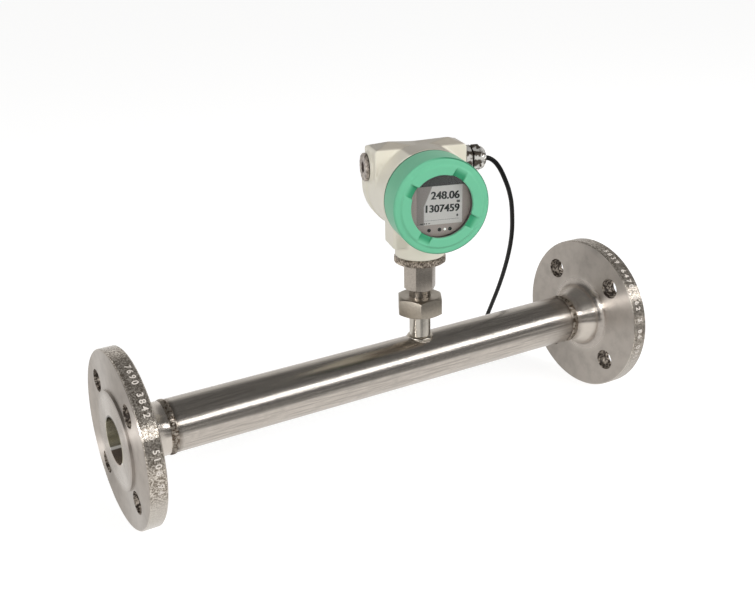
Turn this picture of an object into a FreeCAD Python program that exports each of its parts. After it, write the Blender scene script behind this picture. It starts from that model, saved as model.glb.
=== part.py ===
import FreeCAD, Part
import math
import os
from FreeCAD import Vector

# Flanged in-line thermal flow meter: a measuring pipe between two weld-neck flanges, and on its
# branch a union, a probe that reaches into the flow, and a housing with display and terminals.
# Millimetres. The origin is on the pipe axis in the plane of the inlet's raised face.
# +X runs with the flow, +Z goes up through the branch.

# Measuring section
face_to_face = 475.0
pipe_diameter = 42.4
pipe_wall = 2.6
branch_x = 275.0

# Weld-neck flanges, nominal bore 32
flange_diameter = 140.0
flange_thickness = 16.0
raised_face_diameter = 78.0
raised_face_height = 2.0
rim_chamfer = 1.0
hub_diameter = 56.0
hub_fillet = 6.0
hub_length = 40.0
hub_straight_end = 6.0
bolt_circle_diameter = 100.0
bolt_hole_diameter = 18.0
bolt_hole_count = 4
first_bolt_angle = 45.0

# Girth and branch welds
weld_gap = 1.5
weld_cap_reach = 2.2
weld_cap_height = 0.9
branch_bead_radius = 2.1
branch_bead_offset = 0.2
branch_bead_sink = 1.0

# Branch stub with its threaded union end
stub_diameter = 18.0
union_thread_diameter = 24.0
union_thread_start = 43.0
stub_top = 50.0
hexagon_end_land = 0.96
gasket_thickness = 1.5

# Union nut
nut_bottom = 42.3
nut_top = 58.2
nut_across_flats = 36.0
nut_chamfer = 1.8
nut_lip = 3.8
nut_turn = 239.0

# Neck adapter, hexagon bar with a union collar below and a housing thread above
adapter_bottom = 64.4
adapter_top = 88.5
adapter_across_flats = 24.0
adapter_chamfer = 1.5
adapter_neck_diameter = 18.0
adapter_collar_diameter = 23.4
adapter_collar_height = 3.0
housing_thread_diameter = 18.0
housing_thread_length = 12.0

# Base collar that locks the housing
collar_diameter = 42.4
collar_height = 6.0
collar_chamfer = 1.0

# Probe
probe_diameter = 10.0
probe_top = 92.0
probe_end = 5.0
probe_wall = 1.5
guard_bottom = -9.5
guard_slot_width = 6.0
guard_slot_floor = -7.0
sensor_diameter = 1.8
sensor_length = 9.5
sensor_pitch = 3.4

# Housing, turned about the branch; in its own frame +X is the gland side and -Y the display side
head_turn = 17.0
head_axis_height = 150.5
barrel_radius = 38.6
barrel_front = -28.0
spigot_radius = 34.0
spigot_front = -43.0
block_front = -4.5
block_rear = 29.0
block_half_width = 38.5
block_top = 186.5
block_corner = 4.0
roof_rise = 4.0
roof_valley = 1.5
roof_ridge_x = 25.0
roof_ridge_width = 1.2
roof_front_slope = 8.5
roof_ridge_length = 1.2
roof_back_drop = 7.2
roof_inset = 0.8
rear_collar_radius = 39.6
rear_collar_depth = 8.0
rear_collar_flat = 181.0
rear_collar_lap = 6.0
rear_spigot_radius = 27.4
rear_spigot_depth = 7.0
foot_half_width = 26.4
foot_half_depth = 15.0
foot_bottom = 105.0
foot_corner = 3.0
neck_radius = 20.8
front_cavity_radius = 31.0
rear_cavity_radius = 24.5
partition_front = -2.0
partition_rear = 2.0
wire_hole_diameter = 12.0

# Conduit entries
conduit_height = 169.0
conduit_y = 14.0
conduit_boss_radius = 12.6
conduit_boss_height = 2.2
conduit_boss_root = 2.0
conduit_thread_diameter = 16.0

# Front cover and window
cover_radius = 38.2
cover_front = -59.0
cover_skirt_gap = 0.4
cover_floor = -47.5
cover_edge_chamfer = 1.2
window_radius = 24.8
window_recess = 3.0
face_ring_radius = 32.0
face_ring_step = 1.2
notch_width = 10.0
notch_reach = 38.0
notch_depth = 2.8
notch_angles = (-30.0, 60.0, 150.0, 240.0)
glass_radius = 28.5
glass_thickness = 5.0
window_gasket_thickness = 0.6
retaining_ring_inner = 25.4

# Rear cover
rear_cover_radius = 30.5
rear_cover_wall = 3.0
rear_cover_gap = 0.4
grip_flat_count = 8
grip_flat_depth = 0.9
grip_flat_start = 2.0

# Seals
o_ring_section = 2.2
o_ring_squeeze = 0.05
o_ring_setback = 4.0

# Display
bezel_radius = 25.2
bezel_thickness = 1.0
glass_to_bezel = 0.3
lcd_half_width = 18.5
lcd_bottom = -15.5
lcd_top = 15.0
lcd_border = 0.8
lcd_thickness = 4.2
lcd_recess = 0.3
key_radius = 1.5
key_pitch = 8.5
key_columns = (-1, 0, 1)
key_row = -19.8
key_rise = 0.1
led_radius = 0.9
led_offset = 4.4

# Boards
board_radius = 30.2
board_thickness = 1.6
standoff_across_flats = 4.5
standoff_circle = 26.5
standoff_count = 3
first_standoff_angle = 90.0
screw_head_radius = 2.6
screw_head_height = 1.4
screw_shank_radius = 1.2
screw_length = 6.6
main_board_y = -22.0
terminal_board_radius = 23.0
terminal_board_y = 8.0
terminal_circle = 18.0
terminal_half_width = 15.0
terminal_height = 12.0
terminal_depth = 9.0
terminal_count = 4
terminal_screw_radius = 1.7
terminal_spacing = 6.4
terminal_mouth_floor = 1.0
terminal_screw_sink = 1.0

# Cable gland
gland_across_flats = 20.0
gland_hex_length = 6.2
gland_washer_thickness = 0.8
gland_washer_radius = 10.0
gland_thread_radius = 7.9
gland_thread_length = 8.0
gland_barrel_length = 7.0
gland_nut_length = 12.5
gland_nut_dome = 5.0
gland_seal_radius = 5.6
gland_seal_length = 8.0
gland_chamfer = 0.8
gland_dome_land = 0.98
gland_lip = 2.2

# Blind plug
plug_radius = 11.6
plug_head_height = 2.6
plug_edge = 0.8
plug_socket_across_flats = 8.0
plug_socket_depth = 2.2
plug_seal_thickness = 0.7
plug_thread_length = 9.0

# Cable: visible run as chosen points, then a coil on the plane of the flange rims
cable_diameter = 4.0
bend_share = 0.45
cable_route = [
    (330.9, -2.5, 169.0), (338.8, -4.9, 169.0), (345.6, -6.7, 165.2), (351.0, -8.0, 158.2),
    (356.6, -7.9, 148.2), (363.6, -5.6, 136.4), (374.8, 3.2, 118.1), (392.6, 23.4, 80.0),
    (405.8, 52.0, 31.4), (412.0, 80.2, -15.2), (414.4, 91.5, -33.5), (416.0, 100.0, -45.5),
    (416.8, 107.5, -52.8), (417.0, 116.0, -56.0), (417.0, 124.0, -56.0),
]
coil_track_radius = 26.0
coil_tracks = 3
coil_layers = 4
coil_step = 28.0
tail_route = [
    (443.0, 150.0, -68.0), (462.0, 150.0, -68.0), (472.0, 147.0, -68.0), (481.0, 143.0, -68.0),
]
core_count = 3
core_radius = 0.55
core_pitch = 1.2
core_fan = 12.0
core_length = 20.0
ferrule_radius = 0.85
ferrule_length = 8.0
core_tip = 1.0
core_root = 2.0

# Clearances, and how far a cutting shape reaches past the face that it opens
slide_fit = 0.05
thread_fit = 0.2
seat_gap = 0.1
cut_margin = 1.0

# Values that follow from the ones above
pipe_radius = pipe_diameter / 2
bore_radius = pipe_radius - pipe_wall
floor_z = -flange_diameter / 2
cable_radius = cable_diameter / 2
glass_front = cover_front + window_recess + window_gasket_thickness
glass_back = glass_front + glass_thickness
bezel_front = glass_back + glass_to_bezel
lcd_front = bezel_front + lcd_recess
lcd_back = lcd_front + lcd_thickness
entry_face = block_half_width + conduit_boss_height
gland_base = entry_face + gland_washer_thickness
gland_hex_end = gland_base + gland_hex_length
gland_nut_end = gland_hex_end + seat_gap + gland_nut_length

x_axis = Vector(1, 0, 0)
y_axis = Vector(0, 1, 0)
z_axis = Vector(0, 0, 1)


def turned(points, origin, axis, side):
    """Solid of revolution. A point is (along, radius); four numbers are an arc's middle and end."""
    def place(along, radius):
        return origin + axis * along + side * radius

    edges = []
    last = points[0]
    for item in points[1:] + points[:1]:
        if len(item) == 4:
            edges.append(Part.Arc(place(*last), place(*item[:2]), place(*item[2:])).toShape())
            last = item[2:]
        else:
            edges.append(Part.makeLine(place(*last), place(*item)))
            last = item
    solid = Part.Face(Part.Wire(edges)).revolve(origin, axis, 360)
    if solid.Volume < 0:
        solid.reverse()
    return solid


def ring(inner, outer, start, end, origin, axis, side):
    """Flat ring or tube between two places along an axis."""
    return turned([(start, inner), (start, outer), (end, outer), (end, inner)], origin, axis, side)


def rod(radius, start, end, origin, axis):
    return Part.makeCylinder(radius, end - start, origin + axis * start, axis)


def prism(across_flats, sides, start, end, origin, axis, side, turn):
    """Regular prism with its first corner turned from the side direction."""
    other = axis.cross(side)
    corner_radius = across_flats / 2 / math.cos(math.pi / sides)
    corners = []
    for index in range(sides + 1):
        angle = math.radians(turn + 360.0 * index / sides)
        corners.append(origin + axis * start + side * (corner_radius * math.cos(angle))
                       + other * (corner_radius * math.sin(angle)))
    return Part.Face(Part.makePolygon(corners)).extrude(axis * (end - start))


def chamfered_hexagon(across_flats, chamfer, start, end, origin, axis, side, turn):
    """Hexagon with its corners turned off at both ends."""
    corner_radius = across_flats / math.sqrt(3)
    end_radius = across_flats / 2 * hexagon_end_land
    envelope = turned([(start, 0), (start, end_radius), (start + chamfer, corner_radius),
                       (end - chamfer, corner_radius), (end, end_radius), (end, 0)],
                      origin, axis, side)
    return prism(across_flats, 6, start, end, origin, axis, side, turn).common(envelope)


def box(x0, x1, y0, y1, z0, z1):
    return Part.makeBox(x1 - x0, y1 - y0, z1 - z0, Vector(x0, y0, z0))


def rounded_box(x0, x1, y0, y1, z0, z1, corner):
    """Box with its upright edges rounded."""
    solid = box(x0, x1, y0, y1, z0, z1)
    upright = [edge for edge in solid.Edges
               if abs(edge.tangentAt(edge.FirstParameter).z) > 0.99]
    return solid.makeFillet(corner, upright)


def rectangle(x0, x1, y0, y1, z):
    return Part.makePolygon([Vector(x0, y0, z), Vector(x1, y0, z), Vector(x1, y1, z),
                             Vector(x0, y1, z), Vector(x0, y0, z)])


def around(count, radius, first_angle=0.0):
    """Places on a circle as (x, z) pairs."""
    places = []
    for index in range(count):
        angle = math.radians(first_angle + 360.0 * index / count)
        places.append((radius * math.cos(angle), radius * math.sin(angle)))
    return places


def on_head(shape):
    """Move a shape from the housing's frame to its place on the branch."""
    placed = shape.copy()
    placed.rotate(Vector(0, 0, 0), z_axis, -head_turn)
    placed.translate(Vector(branch_x, 0, 0))
    return placed


def save(name, *shapes):
    shape = shapes[0] if len(shapes) == 1 else Part.makeCompound(list(shapes))
    shape.exportStep("parts/" + name + ".step")


# Places in the housing's own frame
head_axis = Vector(0, 0, head_axis_height)
gland_axis = Vector(0, conduit_y, conduit_height)
branch_axis = Vector(branch_x, 0, 0)


def flange(face_x, direction):
    """Weld-neck flange with its raised face at face_x and its hub in the given direction."""
    origin = Vector(face_x, 0, 0)
    axis = x_axis * direction
    rim = flange_diameter / 2
    raised = raised_face_diameter / 2
    hub = hub_diameter / 2
    bend = hub_fillet * (1 - math.sqrt(0.5))
    profile = [
        (0, bore_radius), (0, raised), (raised_face_height, raised),
        (raised_face_height, rim - rim_chamfer), (raised_face_height + rim_chamfer, rim),
        (flange_thickness - rim_chamfer, rim), (flange_thickness, rim - rim_chamfer),
        (flange_thickness, hub + hub_fillet),
        (flange_thickness + bend, hub + bend, flange_thickness + hub_fillet, hub),
        (hub_length - hub_straight_end, pipe_radius), (hub_length, pipe_radius),
        (hub_length, bore_radius),
    ]
    solid = turned(profile, origin, axis, z_axis)
    for y, z in around(bolt_hole_count, bolt_circle_diameter / 2, first_bolt_angle):
        hole = rod(bolt_hole_diameter / 2, 0, flange_thickness, Vector(face_x, y, z), axis)
        solid = solid.cut(hole)
    return solid


def girth_weld(face_x, direction):
    """Full-penetration weld between hub and pipe, with its cap."""
    origin = Vector(face_x, 0, 0)
    axis = x_axis * direction
    middle = hub_length + weld_gap / 2
    profile = [
        (hub_length, bore_radius), (hub_length, pipe_radius),
        (hub_length - weld_cap_reach, pipe_radius),
        (middle, pipe_radius + weld_cap_height, hub_length + weld_gap + weld_cap_reach, pipe_radius),
        (hub_length + weld_gap, pipe_radius), (hub_length + weld_gap, bore_radius),
    ]
    return turned(profile, origin, axis, z_axis)


def measuring_pipe():
    end = hub_length + weld_gap
    solid = ring(bore_radius, pipe_radius, end, face_to_face - end, Vector(0, 0, 0), x_axis, z_axis)
    return solid.cut(rod(probe_diameter / 2 + thread_fit, 0, flange_diameter, branch_axis, z_axis))


def branch_stub():
    """Stub saddled on the pipe, with a thicker threaded end for the union nut."""
    hole = probe_diameter / 2 + thread_fit
    stub = stub_diameter / 2
    thread = union_thread_diameter / 2
    solid = turned([(0, hole), (0, stub), (union_thread_start, stub),
                    (union_thread_start, thread), (stub_top, thread), (stub_top, hole)],
                   branch_axis, z_axis, x_axis)
    return solid.cut(rod(pipe_radius, 0, face_to_face, Vector(0, 0, 0), x_axis))


def branch_weld():
    centre = branch_axis + z_axis * (pipe_radius - branch_bead_sink)
    bead = Part.makeTorus(stub_diameter / 2 + branch_bead_offset, branch_bead_radius, centre, z_axis)
    bead = bead.cut(rod(pipe_radius, 0, face_to_face, Vector(0, 0, 0), x_axis))
    return bead.cut(rod(stub_diameter / 2, 0, stub_top, branch_axis, z_axis))


def union_gasket():
    return ring(probe_diameter / 2 + thread_fit, adapter_collar_diameter / 2,
                stub_top, stub_top + gasket_thickness, branch_axis, z_axis, x_axis)


def union_nut():
    """Hexagon nut that pulls the adapter's collar down on the stub."""
    solid = chamfered_hexagon(nut_across_flats, nut_chamfer, nut_bottom, nut_top,
                              branch_axis, z_axis, x_axis, nut_turn)
    thread = union_thread_diameter / 2 + thread_fit
    lip = adapter_neck_diameter / 2 + thread_fit
    bore = turned([(nut_bottom, 0), (nut_bottom, thread), (nut_top - nut_lip, thread),
                   (nut_top - nut_lip, lip), (nut_top, lip), (nut_top, 0)],
                  branch_axis, z_axis, x_axis)
    return solid.cut(bore)


def neck_adapter():
    collar_bottom = stub_top + gasket_thickness
    hexagon = chamfered_hexagon(adapter_across_flats, adapter_chamfer, adapter_bottom, adapter_top,
                                Vector(0, 0, 0), z_axis, x_axis, 0)
    collar_top = collar_bottom + adapter_collar_height - seat_gap
    bore = probe_diameter / 2 + slide_fit
    core = turned([(collar_bottom, bore), (collar_bottom, adapter_collar_diameter / 2),
                   (collar_top, adapter_collar_diameter / 2), (collar_top, adapter_neck_diameter / 2),
                   (adapter_bottom + adapter_chamfer, adapter_neck_diameter / 2),
                   (adapter_top, housing_thread_diameter / 2),
                   (adapter_top + housing_thread_length, housing_thread_diameter / 2),
                   (adapter_top + housing_thread_length, bore)],
                  Vector(0, 0, 0), z_axis, x_axis)
    hole = rod(bore, adapter_bottom, adapter_top, Vector(0, 0, 0), z_axis)
    return on_head(hexagon.cut(hole).fuse(core).removeSplitter())


def base_collar():
    outer = collar_diameter / 2
    inner = housing_thread_diameter / 2 + slide_fit
    top = adapter_top + collar_height
    return turned([(adapter_top, inner), (adapter_top, outer - collar_chamfer),
                   (adapter_top + collar_chamfer, outer), (top - collar_chamfer, outer),
                   (top, outer - collar_chamfer), (top, inner)],
                  branch_axis, z_axis, x_axis)


def probe_tube():
    """Closed tube that carries the sensors; the wires run up its bore."""
    outer = probe_diameter / 2
    return turned([(probe_end, 0), (probe_end, outer), (probe_top, outer),
                   (probe_top, outer - probe_wall), (probe_end + 2 * probe_wall, outer - probe_wall),
                   (probe_end + 2 * probe_wall, 0)],
                  branch_axis, z_axis, x_axis)


def probe_guard():
    """Sleeve end with a slot along the flow, round the two sensors."""
    outer = probe_diameter / 2
    solid = rod(outer, guard_bottom, probe_end, branch_axis, z_axis)
    slot = box(branch_x - outer, branch_x + outer, -guard_slot_width / 2, guard_slot_width / 2,
               guard_slot_floor, probe_end)
    roof = rod(outer, probe_end - probe_wall, probe_end, branch_axis, z_axis)
    return solid.cut(slot).fuse(roof).removeSplitter()


def sensor_pin(side):
    top = probe_end - probe_wall
    foot = branch_axis + y_axis * (side * sensor_pitch / 2)
    radius = sensor_diameter / 2
    tip = top - sensor_length
    return turned([(top, 0), (top, radius), (tip + radius, radius),
                   (tip + radius * (1 - math.sqrt(0.5)), radius * math.sqrt(0.5), tip, 0)],
                  foot, z_axis, x_axis)


def housing_block():
    """Upright block of the casting: straight sides and a round underside."""
    w = block_half_width
    c = block_corner
    top = block_top
    axis = head_axis_height
    bend = c * (1 - math.sqrt(0.5))

    def at(x, z):
        return Vector(x, block_front, z)

    edges = [
        Part.makeLine(at(-w, axis), at(-w, top - c)),
        Part.Arc(at(-w, top - c), at(-w + bend, top - bend), at(-w + c, top)).toShape(),
        Part.makeLine(at(-w + c, top), at(w - c, top)),
        Part.Arc(at(w - c, top), at(w - bend, top - bend), at(w, top - c)).toShape(),
        Part.makeLine(at(w, top - c), at(w, axis)),
        Part.Arc(at(w, axis), at(0, axis - w), at(-w, axis)).toShape(),
    ]
    return Part.Face(Part.Wire(edges)).extrude(y_axis * (block_rear - block_front))


def conduit_roof(side):
    """Low hipped roof over one conduit entry."""
    x0, x1 = sorted((side * roof_valley, side * (block_half_width - block_corner)))
    low = rectangle(x0, x1, block_front + roof_inset, block_rear - roof_inset, block_top)
    ridge = side * roof_ridge_x
    high = rectangle(ridge - roof_ridge_width / 2, ridge + roof_ridge_width / 2,
                     block_front + roof_front_slope,
                     block_front + roof_front_slope + roof_ridge_length, block_top + roof_rise)
    return Part.makeLoft([low, high], True, True)


def back_slope():
    """What the mould takes off behind the two ridges, down to the back of the block."""
    ridge = block_front + roof_front_slope + roof_ridge_length
    peak = block_top + roof_rise
    outline = Part.makePolygon([Vector(-block_half_width * 2, y, z) for y, z in (
        (ridge, peak), (block_rear, peak - roof_back_drop), (block_rear, peak + roof_rise),
        (ridge, peak + roof_rise), (ridge, peak))])
    return Part.Face(outline).extrude(x_axis * (block_half_width * 4))


def housing_body():
    """Cast housing: front barrel, block, rear collar, foot and neck, with two chambers."""
    spigot = rod(spigot_radius, spigot_front, barrel_front, head_axis, y_axis)
    barrel = rod(barrel_radius, barrel_front, block_front, head_axis, y_axis)
    collar_end = block_rear + rear_collar_depth
    rear_collar = rod(rear_collar_radius, block_rear - rear_collar_lap, collar_end, head_axis, y_axis)
    rear_collar = rear_collar.cut(box(-block_half_width * 2, block_half_width * 2, block_rear,
                                      collar_end, rear_collar_flat, block_top * 2))
    rear_spigot = rod(rear_spigot_radius, collar_end, collar_end + rear_spigot_depth,
                      head_axis, y_axis)
    foot = rounded_box(-foot_half_width, foot_half_width, -foot_half_depth, foot_half_depth,
                       foot_bottom, head_axis_height - block_half_width / 2, foot_corner)
    neck = rod(neck_radius, adapter_top + collar_height, foot_bottom + foot_corner,
               Vector(0, 0, 0), z_axis)
    solid = housing_block()
    for piece in (barrel, spigot, rear_collar, rear_spigot, foot, neck):
        solid = solid.fuse(piece)
    for side in (-1, 1):
        boss = rod(conduit_boss_radius, block_half_width - conduit_boss_root, entry_face,
                   gland_axis, x_axis * side)
        solid = solid.fuse(boss).fuse(conduit_roof(side))
    solid = solid.cut(back_slope())
    cuts = [
        rod(front_cavity_radius, spigot_front, partition_front, head_axis, y_axis),
        rod(rear_cavity_radius, partition_rear, collar_end + rear_spigot_depth, head_axis, y_axis),
        rod(housing_thread_diameter / 2 + slide_fit, adapter_top + collar_height,
            adapter_top + housing_thread_length + seat_gap, Vector(0, 0, 0), z_axis),
        rod(wire_hole_diameter / 2, adapter_top + housing_thread_length, head_axis_height,
            Vector(0, 0, 0), z_axis),
    ]
    for side in (-1, 1):
        cuts.append(rod(conduit_thread_diameter / 2, rear_cavity_radius / 2, entry_face,
                        gland_axis, x_axis * side))
    groove_floor = spigot_radius + slide_fit - o_ring_section + o_ring_squeeze
    groove_start = barrel_front - o_ring_setback
    cuts.append(ring(groove_floor, spigot_radius, groove_start, groove_start + o_ring_section,
                     head_axis, y_axis, z_axis))
    for piece in cuts:
        solid = solid.cut(piece)
    return on_head(solid.removeSplitter())


def front_cover():
    """Screwed cover with a stepped face and four wedge notches round the window."""
    skirt_end = barrel_front - cover_skirt_gap
    bore = spigot_radius + thread_fit
    seat = cover_front + window_recess
    step = cover_front + face_ring_step
    profile = [
        (cover_front, window_radius), (cover_front, face_ring_radius),
        (step, face_ring_radius + face_ring_step), (step, cover_radius - cover_edge_chamfer),
        (step + cover_edge_chamfer, cover_radius), (skirt_end, cover_radius), (skirt_end, bore),
        (cover_floor, bore), (cover_floor, glass_radius + thread_fit),
        (seat, glass_radius + thread_fit), (seat, window_radius),
    ]
    solid = turned(profile, head_axis, y_axis, z_axis)
    half = notch_width / 2
    inside = window_radius - cut_margin
    outside = cover_front - cut_margin
    for angle in notch_angles:
        mouth = Part.makePolygon([Vector(inside, outside, half),
                                  Vector(inside, cover_front + notch_depth, half),
                                  Vector(notch_reach, outside, half), Vector(inside, outside, half)])
        notch = Part.Face(mouth).extrude(Vector(0, 0, -notch_width))
        notch.rotate(Vector(0, 0, 0), y_axis, -angle)
        notch.translate(head_axis)
        solid = solid.cut(notch)
    return on_head(solid)


def window_gasket():
    seat = cover_front + window_recess
    return on_head(ring(window_radius, glass_radius, seat, glass_front, head_axis, y_axis, z_axis))


def window_glass():
    return on_head(rod(glass_radius, glass_front, glass_back, head_axis, y_axis))


def glass_retaining_ring():
    return on_head(ring(retaining_ring_inner, glass_radius, glass_back, cover_floor - seat_gap,
                        head_axis, y_axis, z_axis))


def front_o_ring():
    """Seal squeezed between groove and cover, flat where it touches."""
    section = o_ring_section / 2 - o_ring_squeeze
    middle_y = barrel_front - o_ring_setback + o_ring_section / 2
    middle_radius = spigot_radius + slide_fit + o_ring_squeeze - o_ring_section / 2
    corner = section / math.cos(math.pi / 8)
    outline = [(middle_y + y, middle_radius + r) for y, r in around(8, corner, 22.5)]
    return on_head(turned(outline, head_axis, y_axis, z_axis))


def rear_cover():
    """Screwed cap with flats for gripping."""
    start = block_rear + rear_collar_depth + rear_cover_gap
    floor = block_rear + rear_collar_depth + rear_spigot_depth + seat_gap
    end = floor + rear_cover_wall
    bore = rear_spigot_radius + thread_fit
    solid = turned([(start, bore), (start, rear_cover_radius), (end - cover_edge_chamfer,
                    rear_cover_radius), (end, rear_cover_radius - cover_edge_chamfer), (end, 0),
                    (floor, 0), (floor, bore)], head_axis, y_axis, z_axis)
    flat = rear_cover_radius - grip_flat_depth
    for index in range(grip_flat_count):
        cutter = box(flat, rear_cover_radius * 2, start + grip_flat_start, end,
                     -notch_width / 2, notch_width / 2)
        cutter.rotate(Vector(0, 0, 0), y_axis, 360.0 * index / grip_flat_count)
        cutter.translate(head_axis)
        solid = solid.cut(cutter)
    return on_head(solid)


def display_bezel():
    solid = rod(bezel_radius, bezel_front, bezel_front + bezel_thickness, head_axis, y_axis)
    back = bezel_front + bezel_thickness
    opening = box(-lcd_half_width, lcd_half_width, bezel_front, back,
                  head_axis_height + lcd_bottom, head_axis_height + lcd_top)
    solid = solid.cut(opening)
    for index in key_columns:
        foot = head_axis + x_axis * (index * key_pitch) + z_axis * key_row
        solid = solid.cut(rod(key_radius + slide_fit, bezel_front, back, foot, y_axis))
    foot = head_axis + x_axis * led_offset + z_axis * key_row
    return on_head(solid.cut(rod(led_radius + slide_fit, bezel_front, back, foot, y_axis)))


def lcd_panel():
    """Display cell: a front step that fills the bezel's opening, on a wider back."""
    back_front = bezel_front + bezel_thickness
    step = box(-lcd_half_width + slide_fit, lcd_half_width - slide_fit, lcd_front, back_front,
               head_axis_height + lcd_bottom + slide_fit, head_axis_height + lcd_top - slide_fit)
    back = box(-lcd_half_width - lcd_border, lcd_half_width + lcd_border, back_front, lcd_back,
               head_axis_height + lcd_bottom - lcd_border, head_axis_height + lcd_top + lcd_border)
    return on_head(step.fuse(back).removeSplitter())


def touch_keys():
    keys = []
    for index in key_columns:
        foot = head_axis + x_axis * (index * key_pitch) + z_axis * key_row
        keys.append(on_head(rod(key_radius, bezel_front - key_rise, lcd_back, foot, y_axis)))
    return keys


def status_led():
    foot = head_axis + x_axis * led_offset + z_axis * key_row
    return on_head(rod(led_radius, bezel_front - key_rise, lcd_back, foot, y_axis))


def round_board(radius, y, hole_circle, wires):
    """Board with screw holes and a hole for the wires."""
    solid = rod(radius, y, y + board_thickness, head_axis, y_axis)
    for x, z in around(standoff_count, hole_circle, first_standoff_angle):
        hole = rod(screw_shank_radius + slide_fit, y, y + board_thickness,
                   head_axis + x_axis * x + z_axis * z, y_axis)
        solid = solid.cut(hole)
    if wires:
        solid = solid.cut(rod(wire_hole_diameter / 2, y, y + board_thickness, head_axis, y_axis))
    return on_head(solid)


def standoffs(circle, start, end):
    pieces = []
    for x, z in around(standoff_count, circle, first_standoff_angle):
        foot = head_axis + x_axis * x + z_axis * z
        hexagon = prism(standoff_across_flats, 6, start, end, foot, y_axis, z_axis, 0)
        pieces.append(on_head(hexagon.cut(rod(screw_shank_radius + slide_fit, start, end,
                                              foot, y_axis))))
    return pieces


def board_screws(circle, board_y):
    """Cheese-head screws through a board into its standoffs."""
    pieces = []
    head = board_y - screw_head_height
    for x, z in around(standoff_count, circle, first_standoff_angle):
        foot = head_axis + x_axis * x + z_axis * z
        pieces.append(on_head(turned([(head, 0), (head, screw_head_radius),
                                      (board_y, screw_head_radius), (board_y, screw_shank_radius),
                                      (board_y + screw_length, screw_shank_radius),
                                      (board_y + screw_length, 0)], foot, y_axis, z_axis)))
    return pieces


def terminal_block():
    """Row of screw terminals with wire mouths below the screws."""
    y0 = terminal_board_y + board_thickness
    y1 = y0 + terminal_depth
    middle = head_axis_height
    solid = box(-terminal_half_width, terminal_half_width, y0, y1,
                middle - terminal_height / 2, middle + terminal_height / 2)
    step = box(-terminal_half_width, terminal_half_width, y1 - terminal_depth / 3, y1,
               middle - terminal_height / 2, middle - terminal_height / 6)
    solid = solid.cut(step)
    first = -terminal_spacing * (terminal_count - 1) / 2
    for index in range(terminal_count):
        x = first + index * terminal_spacing
        screw = rod(terminal_screw_radius, y1 - terminal_depth / 2, y1,
                    Vector(x, 0, middle + terminal_height / 6), y_axis)
        mouth_y = y0 + terminal_mouth_floor
        mouth = box(x - terminal_screw_radius, x + terminal_screw_radius, mouth_y,
                    mouth_y + 2 * terminal_screw_radius, middle - terminal_height / 2,
                    middle - terminal_height / 6)
        solid = solid.cut(screw).cut(mouth)
    return on_head(solid)


def terminal_screws():
    y1 = terminal_board_y + board_thickness + terminal_depth
    first = -terminal_spacing * (terminal_count - 1) / 2
    pieces = []
    for index in range(terminal_count):
        foot = Vector(first + index * terminal_spacing, 0, head_axis_height + terminal_height / 6)
        pieces.append(on_head(rod(terminal_screw_radius - slide_fit, y1 - terminal_depth / 2,
                                  y1 - terminal_screw_sink, foot, y_axis)))
    return pieces


def gland_washer():
    return on_head(ring(gland_thread_radius + slide_fit, gland_washer_radius, entry_face,
                        gland_base, gland_axis, x_axis, z_axis))


def gland_body():
    hexagon = chamfered_hexagon(gland_across_flats, gland_chamfer, gland_base, gland_hex_end,
                                gland_axis, x_axis, z_axis, 0)
    thread = gland_thread_radius
    barrel_end = gland_hex_end + gland_barrel_length
    core = turned([(gland_base - gland_thread_length, 0), (gland_base - gland_thread_length, thread),
                   (barrel_end, thread), (barrel_end, 0)], gland_axis, x_axis, z_axis)
    seal_floor = barrel_end - gland_seal_length
    bore = turned([(gland_base - gland_thread_length, 0),
                   (gland_base - gland_thread_length, cable_radius + thread_fit),
                   (seal_floor, cable_radius + thread_fit), (seal_floor, gland_seal_radius + slide_fit),
                   (barrel_end, gland_seal_radius + slide_fit), (barrel_end, 0)],
                  gland_axis, x_axis, z_axis)
    return on_head(hexagon.fuse(core).cut(bore).removeSplitter())


def gland_seal():
    """Rubber sleeve squeezed on the cable."""
    end = gland_hex_end + gland_barrel_length
    return on_head(ring(cable_radius + slide_fit, gland_seal_radius, end - gland_seal_length, end,
                        gland_axis, x_axis, z_axis))


def gland_nut():
    """Dome nut: hexagon foot and a rounded, turned end round the cable."""
    start = gland_hex_end + seat_gap
    dome_start = gland_nut_end - gland_nut_dome
    dome = gland_across_flats / 2 * gland_dome_land
    mouth = cable_radius + 2 * thread_fit
    lip = mouth + gland_lip
    bend_x = dome_start + gland_nut_dome * math.sqrt(0.5)
    bend_r = lip + (dome - lip) * math.sqrt(0.5)
    outer = turned([(start, 0), (start, dome), (dome_start, dome),
                    (bend_x, bend_r, gland_nut_end, lip), (gland_nut_end, 0)],
                   gland_axis, x_axis, z_axis)
    hexagon = chamfered_hexagon(gland_across_flats, gland_chamfer, start, dome_start,
                                gland_axis, x_axis, z_axis, 0)
    inside = gland_thread_radius + thread_fit
    inside_end = gland_hex_end + gland_barrel_length + slide_fit
    bore = turned([(start, 0), (start, inside), (inside_end, inside), (gland_nut_end, mouth),
                   (gland_nut_end, 0)], gland_axis, x_axis, z_axis)
    return on_head(hexagon.fuse(outer).cut(bore).removeSplitter())


def plug_seal():
    inner = conduit_thread_diameter / 2
    return on_head(ring(inner - slide_fit, plug_radius - plug_edge, entry_face,
                        entry_face + plug_seal_thickness, gland_axis, x_axis * -1, z_axis))


def blind_plug():
    """Round plug head with a hexagon socket."""
    start = entry_face + plug_seal_thickness
    end = start + plug_head_height
    thread = conduit_thread_diameter / 2 - 2 * slide_fit
    foot = entry_face - plug_thread_length
    solid = turned([(foot, 0), (foot, thread), (start, thread), (start, plug_radius),
                    (end - plug_edge, plug_radius), (end, plug_radius - plug_edge), (end, 0)],
                   gland_axis, x_axis * -1, z_axis)
    socket = prism(plug_socket_across_flats, 6, end - plug_socket_depth, end, gland_axis,
                   x_axis * -1, z_axis, 0)
    return on_head(solid.cut(socket))


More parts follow.
